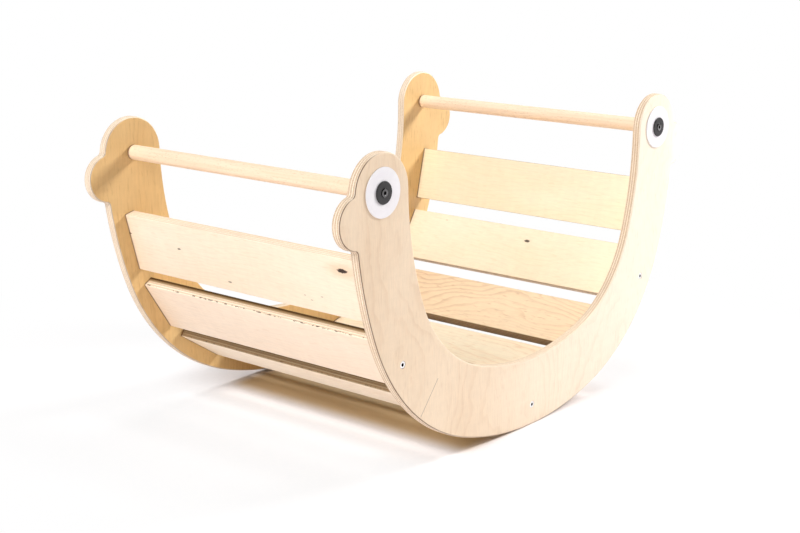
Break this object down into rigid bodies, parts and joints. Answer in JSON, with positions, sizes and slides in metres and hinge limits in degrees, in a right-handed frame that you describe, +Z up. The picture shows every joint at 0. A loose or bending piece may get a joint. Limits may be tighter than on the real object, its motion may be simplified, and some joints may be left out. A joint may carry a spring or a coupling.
{
  "type": "toddler rocker",
  "caption": "Plywood cradle rocker with U-shaped side panels ending in bird-like heads, slats between them and a round hand rail at each end.",
  "frame": {"origin": "on the floor under the middle of the rocker, at the lowest line of the side panels", "axes": "+X along the rocker towards the right-hand head, +Y across it from the near to the far side panel, +Z up"},
  "size_m": [0.8984, 0.5496, 0.496],
  "materials": {
    "panel_birch": "satin lacquered birch plywood",
    "slat_birch": "satin lacquered birch plywood",
    "rail_beech": "satin lacquered beech dowel",
    "disc_white": "smooth white sheet",
    "washer_black": "semi-gloss black",
    "bolt_black": "black coated steel",
    "insert_zinc": "zinc plated",
    "screw_steel": "bright plated steel"
  },
  "bodies": {
    "root": {"side_panel_near": "panel_birch", "side_panel_far": "panel_birch", "slat_1": "slat_birch", "slat_2": "slat_birch", "slat_3": "slat_birch", "slat_4": "slat_birch", "slat_5": "slat_birch", "slat_6": "slat_birch", "slat_7": "slat_birch", "slat_8": "slat_birch", "slat_9": "slat_birch", "hand_rail_left": "rail_beech", "hand_rail_right": "rail_beech", "eye_disc_near_left": "disc_white", "eye_washer_near_left": "washer_black", "rail_bolt_near_left": "bolt_black", "rail_insert_near_left": "insert_zinc", "eye_disc_near_right": "disc_white", "eye_washer_near_right": "washer_black", "rail_bolt_near_right": "bolt_black", "rail_insert_near_right": "insert_zinc", "eye_disc_far_left": "disc_white", "eye_washer_far_left": "washer_black", "rail_bolt_far_left": "bolt_black", "rail_insert_far_left": "insert_zinc", "eye_disc_far_right": "disc_white", "eye_washer_far_right": "washer_black", "rail_bolt_far_right": "bolt_black", "rail_insert_far_right": "insert_zinc", "panel_screw_near_1": "screw_steel", "panel_screw_near_2": "screw_steel", "panel_screw_near_3": "screw_steel", "panel_screw_far_1": "screw_steel", "panel_screw_far_2": "screw_steel", "panel_screw_far_3": "screw_steel"}
  },
  "joints": []
}
